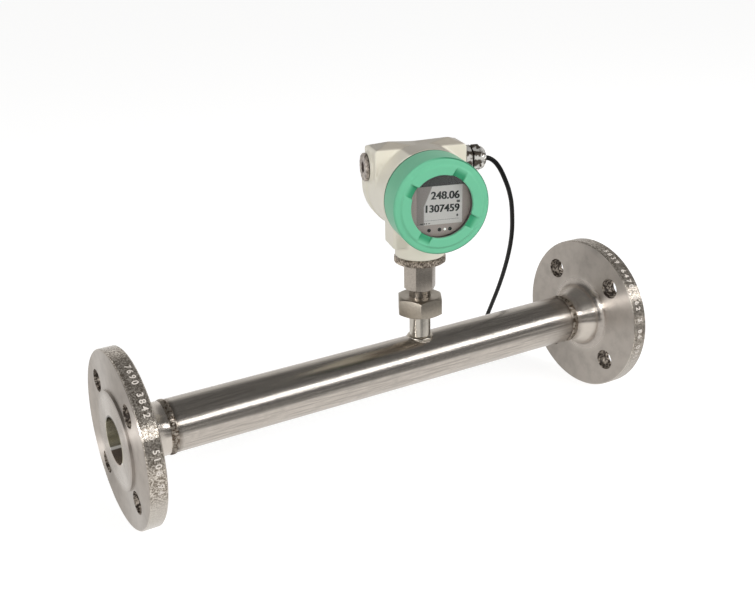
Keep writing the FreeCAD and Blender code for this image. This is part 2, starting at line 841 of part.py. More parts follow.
def rounded_path(points):
    """Straight runs joined by tangent arcs, each as large as its two runs allow."""
    points = [Vector(*point) for point in points]
    edges = []
    radii = []
    last = points[0]
    for before, corner, after in zip(points, points[1:], points[2:]):
        inward = (corner - before).normalize()
        outward = (after - corner).normalize()
        reach = bend_share * min((corner - before).Length, (after - corner).Length)
        half_turn = inward.getAngle(outward) / 2
        radius = reach / math.tan(half_turn)
        middle_way = (outward - inward).normalize()
        middle = corner + middle_way * (radius / math.cos(half_turn) - radius)
        start = corner - inward * reach
        end = corner + outward * reach
        edges.append(Part.makeLine(last, start))
        edges.append(Part.Arc(start, middle, end).toShape())
        radii.append(radius)
        last = end
    edges.append(Part.makeLine(last, points[-1]))
    return Part.Wire(edges), radii


def cable_run(name, points):
    """Tube along the rounded path; prints the bend radii and compares the volume."""
    path, radii = rounded_path(points)
    start = Vector(*points[0])
    heading = (Vector(*points[1]) - start).normalize()
    section = Part.Wire(Part.makeCircle(cable_radius, start, heading))
    tube = path.makePipeShell([section], True, True)
    expected = math.pi * cable_radius ** 2 * path.Length
    print(name, "length %.1f" % path.Length, "volume / expected %.4f" % (tube.Volume / expected))
    print(name, "radii", ["%.1f" % radius for radius in radii])
    return tube


coil_centre = Vector(cable_route[-1][0] + coil_track_radius, cable_route[-1][1], floor_z)


def cable_coil():
    """Outer shape of the wound cable, stepped where the cable joins and leaves.

    The top layer lacks its inner turn.
    """
    outer = coil_track_radius + cable_radius
    inner = outer - coil_tracks * cable_diameter
    height = coil_layers * cable_diameter
    solid = turned([(0, inner), (0, outer), (height, outer), (height, inner + cable_diameter),
                    (height - cable_diameter, inner + cable_diameter),
                    (height - cable_diameter, inner)], coil_centre, z_axis, x_axis)
    x, y = coil_centre.x, coil_centre.y
    track = coil_track_radius - cable_radius - seat_gap
    beyond = outer + cut_margin
    top = floor_z + height
    entry = box(x - beyond, x - track, y - coil_step, y, top - cable_diameter - seat_gap,
                top + cut_margin)
    leave = box(x, x + coil_step, y + track, y + beyond, floor_z - cut_margin,
                floor_z + cable_diameter + seat_gap)
    return solid.cut(entry).cut(leave)


def cable_end():
    """Stripped cores that fan out of the jacket, and the ferrules on them."""
    end = Vector(*tail_route[-1])
    heading = (end - Vector(*tail_route[-2])).normalize()
    cores = []
    ferrules = []
    for index in range(core_count):
        spread = index - (core_count - 1) / 2
        way = FreeCAD.Rotation(z_axis, core_fan * spread).multVec(heading)
        across = z_axis.cross(heading)
        foot = end + across * (spread * core_pitch)
        core = rod(core_radius, 0, core_length, foot, way)
        cores.append(core.cut(rod(cable_radius, -core_root, 0, end, heading)))
        ferrules.append(ring(core_radius, ferrule_radius, core_length - ferrule_length,
                             core_length - core_tip, foot, way, z_axis))
    return cores, ferrules


def build():
    os.makedirs("parts", exist_ok=True)
    save("measuring_pipe", measuring_pipe())
    save("inlet_flange", flange(0, 1))
    save("outlet_flange", flange(face_to_face, -1))
    save("inlet_weld", girth_weld(0, 1))
    save("outlet_weld", girth_weld(face_to_face, -1))
    save("branch_stub", branch_stub())
    save("branch_weld", branch_weld())
    save("union_gasket", union_gasket())
    save("union_nut", union_nut())
    save("neck_adapter", neck_adapter())
    save("base_collar", base_collar())
    save("probe_tube", probe_tube())
    save("probe_guard", probe_guard())
    save("heated_sensor", sensor_pin(1))
    save("temperature_sensor", sensor_pin(-1))

    save("housing_body", housing_body())
    save("front_cover", front_cover())
    save("window_gasket", window_gasket())
    save("window_glass", window_glass())
    save("glass_retaining_ring", glass_retaining_ring())
    save("front_o_ring", front_o_ring())
    save("rear_cover", rear_cover())

    save("display_bezel", display_bezel())
    save("lcd_panel", lcd_panel())
    save("touch_keys", *touch_keys())
    save("status_led", status_led())
    save("display_board", round_board(board_radius, lcd_back, standoff_circle, False))
    main_rear = main_board_y + board_thickness
    save("display_standoffs", *standoffs(standoff_circle, lcd_back + board_thickness, main_board_y))
    save("display_screws", *board_screws(standoff_circle, lcd_back))
    save("main_board", round_board(board_radius, main_board_y, standoff_circle, True))
    save("board_standoffs", *standoffs(standoff_circle, main_rear, partition_front))
    save("terminal_board", round_board(terminal_board_radius, terminal_board_y, terminal_circle, False))
    save("terminal_standoffs", *standoffs(terminal_circle, partition_rear, terminal_board_y))
    save("terminal_block", terminal_block())
    save("terminal_screws", *terminal_screws())

    save("gland_washer", gland_washer())
    save("gland_body", gland_body())
    save("gland_seal", gland_seal())
    save("gland_nut", gland_nut())
    save("plug_seal", plug_seal())
    save("blind_plug", blind_plug())

    save("cable", cable_run("cable", cable_route))
    save("cable_coil", cable_coil())
    save("cable_tail", cable_run("cable_tail", tail_route))
    cores, ferrules = cable_end()
    save("cable_cores", *cores)
    save("core_ferrules", *ferrules)


build()
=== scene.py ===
import math

import bmesh
import bpy
from mathutils import Matrix, Vector


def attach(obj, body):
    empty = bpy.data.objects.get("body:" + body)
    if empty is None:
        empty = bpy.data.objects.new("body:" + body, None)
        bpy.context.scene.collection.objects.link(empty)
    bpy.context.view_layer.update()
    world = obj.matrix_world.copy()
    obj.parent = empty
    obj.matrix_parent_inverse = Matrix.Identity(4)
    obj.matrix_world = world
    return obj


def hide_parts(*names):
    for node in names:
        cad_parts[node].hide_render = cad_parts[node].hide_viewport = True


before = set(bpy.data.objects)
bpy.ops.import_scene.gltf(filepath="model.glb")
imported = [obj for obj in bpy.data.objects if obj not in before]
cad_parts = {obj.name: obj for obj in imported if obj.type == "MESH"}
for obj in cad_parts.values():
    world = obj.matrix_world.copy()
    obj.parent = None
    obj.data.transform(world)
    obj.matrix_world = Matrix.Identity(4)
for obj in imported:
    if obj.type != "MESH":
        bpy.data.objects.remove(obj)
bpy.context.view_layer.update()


# Camera: it stands in front of the inlet end, above the pipe, and looks along the meter towards
# the outlet. The lens is that of the photograph, with its middle left of the picture's middle.
camera_place = Vector((-0.17085, -0.65781, 0.35774))
camera_azimuth = 28.714
camera_tilt = 20.937
camera_roll = -2.051


def in_scene(name, data):
    """Object that shows the data, linked to the scene."""
    made = bpy.data.objects.new(name, data)
    bpy.context.scene.collection.objects.link(made)
    return made


camera_data = bpy.data.cameras.new("camera")
camera_data.sensor_width = 36.0
camera_data.lens = 47.452
camera_data.shift_x = 0.0605
camera_data.shift_y = 0.0015
camera = in_scene("camera", camera_data)
camera.matrix_world = (Matrix.Translation(camera_place)
                       @ Matrix.Rotation(math.radians(-camera_azimuth), 4, "Z")
                       @ Matrix.Rotation(math.radians(90.0 - camera_tilt), 4, "X")
                       @ Matrix.Rotation(math.radians(camera_roll), 4, "Z"))
bpy.context.scene.camera = camera
bpy.context.scene.view_settings.view_transform = "Standard"


# Cable: a round black sensor lead, moulded on its cores. It leaves the gland towards the outlet,
# drops behind the pipe, and the spare length is wound up on the floor behind the meter.
mm = 0.001
cable_diameter = 4.0 * mm
cable_route = [
    (330.9, -2.5, 169.0), (338.8, -4.9, 169.0), (345.6, -6.7, 165.2), (351.0, -8.0, 158.2),
    (356.6, -7.9, 148.2), (363.6, -5.6, 136.4), (374.8, 3.2, 118.1), (392.6, 23.4, 80.0),
    (405.8, 52.0, 31.4), (412.0, 80.2, -15.2), (414.4, 91.5, -33.5), (416.0, 100.0, -45.5),
    (416.8, 107.5, -52.8), (417.0, 116.0, -56.0), (417.0, 124.0, -56.0),
]
tail_route = [
    (443.0, 150.0, -68.0), (462.0, 150.0, -68.0), (472.0, 147.0, -68.0), (481.0, 143.0, -68.0),
]
coil_tracks = (26.0, 22.0, 18.0)
coil_layers = 4
points_per_turn = 16


def coil_turns():
    """Points of the wound length: it comes in on top from the left and goes out below, behind."""
    centre_x = cable_route[-1][0] + coil_tracks[0]
    centre_y = cable_route[-1][1]
    pitch = cable_diameter / mm
    stations = []
    for layer in range(coil_layers):
        tracks = coil_tracks if layer % 2 == 0 else coil_tracks[::-1]
        if layer == 0:
            tracks = coil_tracks[:-1]
        stations += [(radius, cable_route[-1][2] - layer * pitch) for radius in tracks]
    stations.append(stations[-1])
    steps = points_per_turn * (len(stations) - 1) + points_per_turn // 4
    for step in range(1, steps):
        turn, part = divmod(step / points_per_turn, 1.0)
        ease = max(0.0, (part - 0.7) / 0.3)
        now, after = stations[int(turn)], stations[min(int(turn) + 1, len(stations) - 1)]
        radius = now[0] + (after[0] - now[0]) * ease
        height = now[1] + (after[1] - now[1]) * ease
        angle = math.pi - 2 * math.pi * step / points_per_turn
        yield (centre_x + radius * math.cos(angle), centre_y + radius * math.sin(angle), height)


def add(tree, kind, values=(), **settings):
    """Add a node. Each value is a pair of a socket and the number or output that it takes."""
    made = tree.nodes.new(kind)
    for name, setting in settings.items():
        setattr(made, name, setting)
    for socket, value in values:
        if isinstance(value, bpy.types.NodeSocket):
            tree.links.new(value, made.inputs[socket])
        else:
            made.inputs[socket].default_value = value
    return made


def noise(tree, scale, detail=3.0):
    """Irregular value on the object's own coordinates, in patches about 1/scale metres wide."""
    place = add(tree, "ShaderNodeTexCoord").outputs["Object"]
    return add(tree, "ShaderNodeTexNoise", [("Vector", place), ("Scale", scale),
                                            ("Detail", detail)]).outputs["Fac"]


def tone(red, green, blue):
    """Colour as it shows on a screen, from 0 to 255, as a shader takes it."""
    parts = []
    for value in (red, green, blue):
        value /= 255.0
        parts.append(value / 12.92 if value <= 0.04045 else ((value + 0.055) / 1.055) ** 2.4)
    return (*parts, 1.0)


def finish(name, colour, roughness, metallic=0.0):
    """Material with one surface shader, its tree and that shader."""
    material = bpy.data.materials.new(name)
    material.use_nodes = True
    surface = material.node_tree.nodes["Principled BSDF"]
    surface.inputs["Base Color"].default_value = colour
    surface.inputs["Roughness"].default_value = roughness
    surface.inputs["Metallic"].default_value = metallic
    return material, material.node_tree, surface


def blend_colours(tree, share, first, second):
    """The first colour where the share is 0, the second where it is 1."""
    mix = add(tree, "ShaderNodeMix", [("Factor", share)], data_type="RGBA")
    for socket, value in ((mix.inputs[6], first), (mix.inputs[7], second)):
        if isinstance(value, bpy.types.NodeSocket):
            tree.links.new(value, socket)
        else:
            socket.default_value = value
    return mix.outputs[2]


def ranged(tree, value, low, high, start=0.0, end=1.0):
    """The number between low and high that lies as far along as the value from start to end."""
    return add(tree, "ShaderNodeMapRange", [
        ("Value", value), ("From Min", start), ("From Max", end), ("To Min", low),
        ("To Max", high)]).outputs[0]


def grained(name, colour, roughness, grain=0.4 * mm, depth=0.03 * mm, shade=0.9, metallic=0.0):
    """Finish with a fine grain in relief and a slow change of shade, as moulded or coated."""
    material, tree, surface = finish(name, colour, roughness, metallic)
    fine = noise(tree, 1 / grain, 2.0)
    slow = noise(tree, 60.0)
    relief = add(tree, "ShaderNodeBump", [("Height", fine), ("Distance", depth),
                                          ("Strength", 0.6)]).outputs["Normal"]
    darker = (*[part * shade for part in colour[:3]], 1.0)
    tree.links.new(blend_colours(tree, slow, colour, darker), surface.inputs["Base Color"])
    tree.links.new(ranged(tree, slow, roughness * 0.85, roughness * 1.15),
                   surface.inputs["Roughness"])
    tree.links.new(relief, surface.inputs["Normal"])
    return material


def cord_curve(name, points, material):
    """Smooth round cord with the route's points as its control points."""
    data = bpy.data.curves.new(name, "CURVE")
    data.dimensions = "3D"
    spline = data.splines.new("NURBS")
    spline.points.add(len(points) - 1)
    for control, point in zip(spline.points, points):
        control.co = (*[value * mm for value in point], 1.0)
    spline.order_u = 3
    spline.use_endpoint_u = True
    spline.resolution_u = 8
    data.bevel_depth = cable_diameter / 2
    data.bevel_resolution = 5
    data.use_fill_caps = True
    data.materials.append(material)
    made = in_scene(name, data)
    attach(made, "root")
    return made


cable_jacket = grained("cable_jacket", tone(13, 13, 14), 0.42, grain=0.5 * mm, depth=0.01 * mm)
cable_jacket.node_tree.nodes["Principled BSDF"].inputs["Specular IOR Level"].default_value = 0.2
lead = cord_curve("lead", [*cable_route, *coil_turns(), *tail_route], cable_jacket)
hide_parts("cable", "cable_coil", "cable_tail")

core_colours = grained("core_colours", tone(120, 72, 40), 0.4)
ferrule_tin = grained("ferrule_tin", tone(196, 194, 190), 0.28, metallic=1.0)
for node_name, material in (("cable_cores", core_colours), ("core_ferrules", ferrule_tin)):
    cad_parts[node_name].data.materials.clear()
    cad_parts[node_name].data.materials.append(material)
tuple(value * mm for value in cable_route[0])


# Studio: a wide pale floor at the height of the flange rims, with dark screens that only show in
# the metal. Two strip lamps at the front right draw the bright line along the pipe, a soft key
# lamp stands there too, and two weaker lamps fill from the left.
floor_height = -70.0 * mm
floor_reach = 12.0
floor_mesh = bpy.data.meshes.new("floor")
floor_mesh.from_pydata([(x * floor_reach, y * floor_reach, floor_height)
                        for x, y in ((-1, -1), (1, -1), (1, 1), (-1, 1))], [], [(0, 1, 2, 3)])
in_scene("floor", floor_mesh)


def calc(tree, operation, first, second=0.0):
    """One step of arithmetic on sockets or numbers."""
    return add(tree, "ShaderNodeMath", [(0, first), (1, second)], operation=operation).outputs[0]


def chain(tree, operation, *values):
    """The same step of arithmetic carried on over all the values."""
    result = values[0]
    for value in values[1:]:
        result = calc(tree, operation, result, value)
    return result


def own_axes(tree):
    """The object's own coordinates, a socket for each axis."""
    place = add(tree, "ShaderNodeTexCoord").outputs["Object"]
    return add(tree, "ShaderNodeSeparateXYZ", [(0, place)]).outputs


def step_between(tree, value, start, end):
    """Smooth step from 0 at the start to 1 at the end."""
    return add(tree, "ShaderNodeMapRange", [("Value", value), ("From Min", start),
                                            ("From Max", end)],
               interpolation_type="SMOOTHSTEP").outputs[0]


def band(tree, value, rise, fall):
    """1 between two soft edges, each from where it starts to where it ends."""
    return calc(tree, "MULTIPLY", step_between(tree, value, *rise),
                step_between(tree, value, *fall))


floor_paint, tree, surface = finish("floor_paint", (0.6, 0.6, 0.59, 1.0), 0.9)
glow = add(tree, "ShaderNodeEmission", [("Color", (1.0, 1.0, 1.0, 1.0)), ("Strength", 0.79)])
matt = add(tree, "ShaderNodeBsdfDiffuse", [("Color", (0.46, 0.46, 0.46, 1.0))])
seen = add(tree, "ShaderNodeAddShader", [(0, glow.outputs[0]), (1, matt.outputs[0])])
screen_slant = 0.549
split = own_axes(tree)
slanted_x = calc(tree, "ADD", split["X"], calc(tree, "MULTIPLY", split["Y"], screen_slant))
front_right = calc(tree, "MULTIPLY", band(tree, slanted_x, (-0.09, 0.0), (0.64, 0.52)),
                   step_between(tree, split["Y"], -0.19, -0.33))
far_front = calc(tree, "MULTIPLY", band(tree, slanted_x, (-0.24, -0.19), (0.64, 0.52)),
                 step_between(tree, split["Y"], -0.42, -0.52))
right_side = chain(tree, "MULTIPLY", band(tree, split["X"], (0.42, 0.62), (0.86, 0.72)),
                   step_between(tree, split["Y"], 0.1, -0.1), 0.6)
branch_x = 275.0 * mm
from_branch = calc(tree, "ARCTAN2", calc(tree, "SUBTRACT", split["X"], branch_x),
                   calc(tree, "MULTIPLY", split["Y"], -1.0))
before_branch = chain(tree, "MULTIPLY", band(tree, from_branch, (-0.56, -0.46), (0.06, -0.04)),
                      step_between(tree, split["Y"], -0.17, -0.21), 0.8)
screens = chain(tree, "MAXIMUM", front_right, far_front, right_side, before_branch)
reflected = add(tree, "ShaderNodeEmission", [("Color", (1.0, 0.985, 0.96, 1.0)),
                                             ("Strength", ranged(tree, screens, 0.92, 0.18))])
light_path = add(tree, "ShaderNodeLightPath")
for ray, shader in (("Is Glossy Ray", reflected), ("Is Transmission Ray", glow),
                    ("Is Camera Ray", seen)):
    surface = add(tree, "ShaderNodeMixShader", [(0, light_path.outputs[ray]),
                                                (1, surface.outputs[0]), (2, shader.outputs[0])])
tree.links.new(surface.outputs[0], tree.nodes["Material Output"].inputs["Surface"])
floor_mesh.materials.append(floor_paint)

world = bpy.data.worlds.new("studio")
world.use_nodes = True
bpy.context.scene.world = world
tree = world.node_tree
tree.nodes.clear()
way = add(tree, "ShaderNodeTexCoord").outputs["Generated"]
split = add(tree, "ShaderNodeSeparateXYZ", [(0, way)]).outputs
overhead = step_between(tree, split["Z"], 0.35, 0.75)
wall = ranged(tree, step_between(tree, split["Y"], -0.15, 0.5), 0.14, 0.75)
level = add(tree, "ShaderNodeMix", [("Factor", overhead), (2, wall), (3, 0.15)]).outputs[0]
light_path = add(tree, "ShaderNodeLightPath")
mirrored = add(tree, "ShaderNodeBackground", [(0, (1.0, 0.985, 0.96, 1.0)), (1, level)])
soft = add(tree, "ShaderNodeBackground", [(0, (1.0, 0.99, 0.97, 1.0)),
                                          (1, ranged(tree, overhead, 0.56, 0.26))])
white = add(tree, "ShaderNodeBackground", [(0, (1.0, 1.0, 1.0, 1.0)), (1, 1.0)])
lit = add(tree, "ShaderNodeMixShader", [(0, light_path.outputs["Is Glossy Ray"]),
                                        (1, soft.outputs[0]), (2, mirrored.outputs[0])])
clear = calc(tree, "MAXIMUM", light_path.outputs["Is Camera Ray"],
             light_path.outputs["Is Transmission Ray"])
shown = add(tree, "ShaderNodeMixShader", [(0, clear), (1, lit.outputs[0]), (2, white.outputs[0])])
add(tree, "ShaderNodeOutputWorld", [("Surface", shown.outputs[0])])


def lamp(name, place, target, width, height, watts):
    """Rectangular soft lamp that faces the target."""
    data = bpy.data.lights.new(name, "AREA")
    data.shape = "RECTANGLE"
    data.size = width
    data.size_y = height
    data.energy = watts
    made = in_scene(name, data)
    made.matrix_world = (Matrix.Translation(place)
                         @ (Vector(target) - Vector(place)).to_track_quat("-Z", "Y")
                         .to_matrix().to_4x4())
    return made


lamp("strip_lower", (0.95, -1.33, 0.66), (0.26, 0.0, 0.03), 1.8, 0.09, 4.0)
lamp("strip_upper", (0.95, -1.24, 0.85), (0.26, 0.0, 0.03), 1.8, 0.10, 3.6)
lamp("fill_left", (-1.6, -0.9, 0.7), (0.2, 0.0, 0.05), 1.2, 1.2, 10.0)
lamp("low_left", (-2.4, -0.5, 0.40), (0.3, 0.0, 0.0), 0.4, 0.3, 15.0)
key = lamp("key_front_right", (1.1, -1.5, 1.3), (0.25, 0.0, 0.05), 1.2, 1.2, 18.5)
key.visible_glossy = False


# Measuring pipe: drawn stainless tube with a ground outside and a bright bore, cut to length
# between the two flanges. The heat of each weld has left a brown tint on it.
pipe_radius = 21.2 * mm
face_to_face = 475.0 * mm
weld_middles = (40.75 * mm, face_to_face - 40.75 * mm)
crease = math.radians(30.0)


def distance(tree, first, second):
    """Distance from an axis, from the two coordinates across it."""
    return calc(tree, "SQRT", calc(tree, "ADD", calc(tree, "MULTIPLY", first, first),
                                   calc(tree, "MULTIPLY", second, second)))


def machined(name, colour, roughness, axis="X", centre=(0.0, 0.0, 0.0), spacing=0.25 * mm,
             rays=1.0, depth=0.006 * mm, directional=0.5, stain=11 * mm, lined=0.0):
    """Steel with fine lines round an axis, or along it where there are many rays, and stains."""
    material, tree, surface = finish(name, colour, roughness, 1.0)
    place = add(tree, "ShaderNodeTexCoord").outputs["Object"]
    centred = add(tree, "ShaderNodeMapping", [("Vector", place),
                                              ("Location", [-part for part in centre])]).outputs[0]
    split = add(tree, "ShaderNodeSeparateXYZ", [(0, centred)])
    along = split.outputs[axis]
    across = [split.outputs[letter] for letter in "XYZ" if letter != axis]
    radius = distance(tree, *across)
    turn = calc(tree, "ARCTAN2", *across)
    lines_at = add(tree, "ShaderNodeCombineXYZ", [
        (0, calc(tree, "MULTIPLY", along, 1 / spacing)),
        (1, calc(tree, "MULTIPLY", radius, 1 / spacing)),
        (2, calc(tree, "MULTIPLY", turn, rays))]).outputs[0]
    lines = add(tree, "ShaderNodeTexNoise", [("Vector", lines_at), ("Scale", 1.0),
                                             ("Detail", 3.0)]).outputs["Fac"]
    stains = add(tree, "ShaderNodeTexNoise", [("Vector", place), ("Scale", 1 / stain),
                                              ("Detail", 4.0), ("Roughness", 0.6)]).outputs["Fac"]
    relief = add(tree, "ShaderNodeBump", [("Height", lines), ("Distance", depth),
                                          ("Strength", 0.5)]).outputs["Normal"]
    dull = (*[part * 0.72 for part in colour[:3]], 1.0)
    marked = calc(tree, "MAXIMUM", ranged(tree, stains, 0.0, 0.7, 0.42, 0.75),
                  ranged(tree, lines, 0.0, lined, 0.4, 0.65))
    tint = blend_colours(tree, marked, colour, dull)
    tree.links.new(tint, surface.inputs["Base Color"])
    tree.links.new(ranged(tree, lines, roughness * 0.9, roughness * 1.1),
                   surface.inputs["Roughness"])
    tree.links.new(relief, surface.inputs["Normal"])
    surface.inputs["Anisotropic"].default_value = directional
    surface.inputs["Anisotropic Rotation"].default_value = 0.25
    tangent = add(tree, "ShaderNodeTangent", direction_type="RADIAL", axis=axis)
    tree.links.new(tangent.outputs[0], surface.inputs["Tangent"])
    return material, tree, surface, tint, along


def piece(name, mesh, material, slot, *nodes):
    """Show a mesh as a piece of the meter in the place of the named parts."""
    mesh.materials.clear()
    mesh.materials.append(material)
    made = in_scene(name, mesh)
    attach(made, "root")
    if nodes:
        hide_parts(*nodes)
    return made


def merged(node_name):
    """Copy of a part's mesh with its corners joined, smooth up to the crease angle."""
    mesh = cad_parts[node_name].data.copy()
    work = bmesh.new()
    work.from_mesh(mesh)
    bmesh.ops.remove_doubles(work, verts=work.verts, dist=0.002 * mm)
    work.to_mesh(mesh)
    work.free()
    if "custom_normal" in mesh.attributes:
        mesh.attributes.remove(mesh.attributes["custom_normal"])
    mesh.shade_smooth()
    mesh.set_sharp_from_angle(angle=crease)
    return mesh


def smooth_part(node_name, material, slot):
    """Show a part as it was drawn, with its finish."""
    return piece(node_name + "_finished", merged(node_name), material, slot, node_name)


ground_steel, tree, surface, tint, along = machined(
    "ground_steel", tone(204, 197, 189), 0.25, spacing=30 * mm, rays=15.0, depth=0.03 * mm,
    directional=0.45, lined=0.8)
near = calc(tree, "MINIMUM", *[
    calc(tree, "ABSOLUTE", calc(tree, "SUBTRACT", along, middle)) for middle in weld_middles])
reach = calc(tree, "ADD", near, calc(tree, "MULTIPLY", noise(tree, 260.0), 5 * mm))
heat = ranged(tree, reach, 0.75, 0.0, 4.5 * mm, 9.0 * mm)
tree.links.new(blend_colours(tree, heat, tint, tone(96, 84, 72)), surface.inputs["Base Color"])
smooth_part("measuring_pipe", ground_steel, "brushed_steel_pipe")


# Flanges: forged stainless weld-neck flanges, turned all over, with four drilled bolt holes, a
# raised sealing face and a rough rim. Each is welded to the pipe by its hub.
bolt_circle_radius = 50.0 * mm
hole_radius = 9.0 * mm
rim_radius = 70.0 * mm
glint_height = -13.0 * mm


def fed_by(surface, socket):
    """What a socket of the shader takes so far."""
    return surface.inputs[socket].links[0].from_socket


turned_steel, tree, surface, tint, along = machined(
    "turned_steel", tone(185, 178, 171), 0.42, spacing=0.35 * mm, depth=0.0005 * mm,
    directional=0.95)
bolt_offset = bolt_circle_radius * math.sqrt(0.5)
split = own_axes(tree)
from_bolt = distance(tree, *[
    calc(tree, "SUBTRACT", calc(tree, "ABSOLUTE", split[letter]), bolt_offset)
    for letter in "YZ"])
from_axis = distance(tree, split["Y"], split["Z"])
in_hole = step_between(tree, from_bolt, hole_radius + 0.25 * mm, hole_radius + 0.1 * mm)
on_rim = step_between(tree, from_axis, rim_radius - 1.1 * mm, rim_radius - 0.4 * mm)
in_bore = step_between(tree, from_axis, 20.2 * mm, 19.4 * mm)
patches = step_between(tree, noise(tree, 820.0), 0.36, 0.68)
# The bolt holes are painted in dark brown and pale patches: painted shade inside the holes, with
# mottled tone.
hole_shade_and_mottle = blend_colours(tree, step_between(tree, noise(tree, 420.0), 0.42, 0.68),
                        tone(60, 50, 43), tone(206, 194, 180))
rim_mottle_and_low_light = blend_colours(tree, patches, tone(124, 114, 102), tone(226, 218, 208))
# The rim is mottled, and its lower part is painted lighter: a painted reflection of the floor.
painted_low_rim_light = step_between(tree, split["Z"], -8.0 * mm, -32.0 * mm)
rim_mottle_and_low_light = blend_colours(tree, calc(tree, "MULTIPLY", painted_low_rim_light, 0.85), rim_mottle_and_low_light,
                       tone(206, 200, 192))
faced = blend_colours(tree, on_rim, tint, rim_mottle_and_low_light)
# The bore is painted darker towards its top as painted shade, lighter lower down, and with a white
# line across it, a painted glint.
from_glint = calc(tree, "ABSOLUTE", calc(tree, "SUBTRACT", split["Z"], glint_height))
glint = calc(tree, "MULTIPLY", in_bore, step_between(tree, from_glint, 1.3 * mm, 0.5 * mm))
painted_bore_light = blend_colours(tree, step_between(tree, split["Z"], 5.0 * mm, 14.0 * mm),
                      tone(196, 190, 166), tone(92, 86, 78))
below_painted_glint = step_between(tree, split["Z"], glint_height, glint_height - 1.0 * mm)
painted_bore_light = blend_colours(tree, below_painted_glint, painted_bore_light, tone(184, 168, 156))
painted_bore_light = blend_colours(tree, glint, painted_bore_light, tone(255, 252, 246))
faced = blend_colours(tree, in_bore, faced, painted_bore_light)
# The hub is painted lighter than the plate: painted light.
from_middle = calc(tree, "ABSOLUTE", calc(tree, "SUBTRACT", along, face_to_face / 2))
painted_hub_light = step_between(tree, from_middle, 219.0 * mm, 216.0 * mm)
faced = blend_colours(tree, calc(tree, "MULTIPLY", painted_hub_light, 0.7), faced, tone(232, 224, 215))
tree.links.new(blend_colours(tree, in_hole, faced, hole_shade_and_mottle), surface.inputs["Base Color"])
# The holes, the rim, the bore and the painted glint are less metallic, so that their painted
# colours show.
rough_cut_and_glint = chain(tree, "MAXIMUM", in_hole, glint, calc(tree, "MULTIPLY", in_bore, 0.25),
                  calc(tree, "MULTIPLY", on_rim, 0.25))
tree.links.new(ranged(tree, rough_cut_and_glint, 1.0, 0.3), surface.inputs["Metallic"])
on_plate = calc(tree, "MULTIPLY", step_between(tree, from_axis, 33.0 * mm, 39.0 * mm),
                calc(tree, "SUBTRACT", 1.0, on_rim))
tree.links.new(calc(tree, "MULTIPLY", fed_by(surface, "Roughness"),
                    ranged(tree, on_plate, 0.62, 1.0)), surface.inputs["Roughness"])
for node_name in ("inlet_flange", "outlet_flange"):
    smooth_part(node_name, turned_steel, "turned_steel")


# Girth welds: butt welds between hub and pipe, of the same stainless metal. They are laid by hand
# as overlapping scales, and soot is left between these.
bead_steel, tree, surface, tint, _ = machined("bead_steel", tone(186, 176, 164), 0.3,
                                              spacing=0.8 * mm)
soot = step_between(tree, noise(tree, 400.0), 0.45, 0.6)
tree.links.new(blend_colours(tree, soot, tint, tone(104, 92, 80)), surface.inputs["Base Color"])
bead_height = 0.35


def ring_tree():
    """Copies of one item round a circle, each a little uneven, as one mesh."""
    tree = bpy.data.node_groups.new("ring_of_items", "GeometryNodeTree")
    sockets = tree.interface
    for name, kind in (("Geometry", "Geometry"), ("Item", "Object"), ("Count", "Int"),
                       ("Radius", "Float"), ("Unevenness", "Float"), ("Finish", "Material")):
        sockets.new_socket(name, in_out="INPUT", socket_type="NodeSocket" + kind)
    sockets.new_socket("Geometry", in_out="OUTPUT", socket_type="NodeSocketGeometry")
    given = add(tree, "NodeGroupInput").outputs
    circle = add(tree, "GeometryNodeMeshCircle", [("Vertices", given["Count"]),
                                                  ("Radius", given["Radius"])])
    index = add(tree, "GeometryNodeInputIndex").outputs[0]
    angle = calc(tree, "MULTIPLY", index, calc(tree, "DIVIDE", 2 * math.pi, given["Count"]))
    less = calc(tree, "MULTIPLY", given["Unevenness"], -1.0)
    sway = add(tree, "FunctionNodeRandomValue", [(2, less), (3, given["Unevenness"]), ("Seed", 3)],
               data_type="FLOAT").outputs[1]
    size = add(tree, "FunctionNodeRandomValue", [(2, less), (3, given["Unevenness"]), ("Seed", 8)],
               data_type="FLOAT").outputs[1]
    rotation = add(tree, "ShaderNodeCombineXYZ", [("X", sway), ("Z", angle)]).outputs[0]
    item = add(tree, "GeometryNodeObjectInfo", [("Object", given["Item"])]).outputs["Geometry"]
    placed = add(tree, "GeometryNodeInstanceOnPoints", [
        ("Points", circle.outputs[0]), ("Instance", item), ("Rotation", rotation),
        ("Scale", calc(tree, "ADD", size, 1.0))]).outputs[0]
    real = add(tree, "GeometryNodeRealizeInstances", [(0, placed)]).outputs[0]
    dressed = add(tree, "GeometryNodeSetMaterial", [("Geometry", real),
                                                    ("Material", given["Finish"])]).outputs[0]
    add(tree, "NodeGroupOutput", [(0, dressed)])
    return tree


ring_of_items = ring_tree()


def as_mesh(made):
    """Plain mesh of an object with its modifiers applied. The object itself goes."""
    evaluated = made.evaluated_get(bpy.context.evaluated_depsgraph_get())
    mesh = bpy.data.meshes.new_from_object(evaluated)
    bpy.data.objects.remove(made)
    return mesh


def ring_mesh(name, item_mesh, count, radius, unevenness, material):
    """Run the ring tree on an item and keep the result as a plain mesh round the Z axis."""
    item = in_scene(name + "_item", item_mesh)
    carrier = in_scene(name + "_carrier", bpy.data.meshes.new(name + "_carrier"))
    ring = carrier.modifiers.new("ring", "NODES")
    ring.node_group = ring_of_items
    wanted = {"Item": item, "Count": count, "Radius": radius, "Unevenness": unevenness,
              "Finish": material}
    for socket in ring_of_items.interface.items_tree:
        if socket.in_out == "INPUT" and socket.name in wanted:
            ring[socket.identifier] = wanted[socket.name]
    mesh = as_mesh(carrier)
    bpy.data.objects.remove(item)
    return mesh


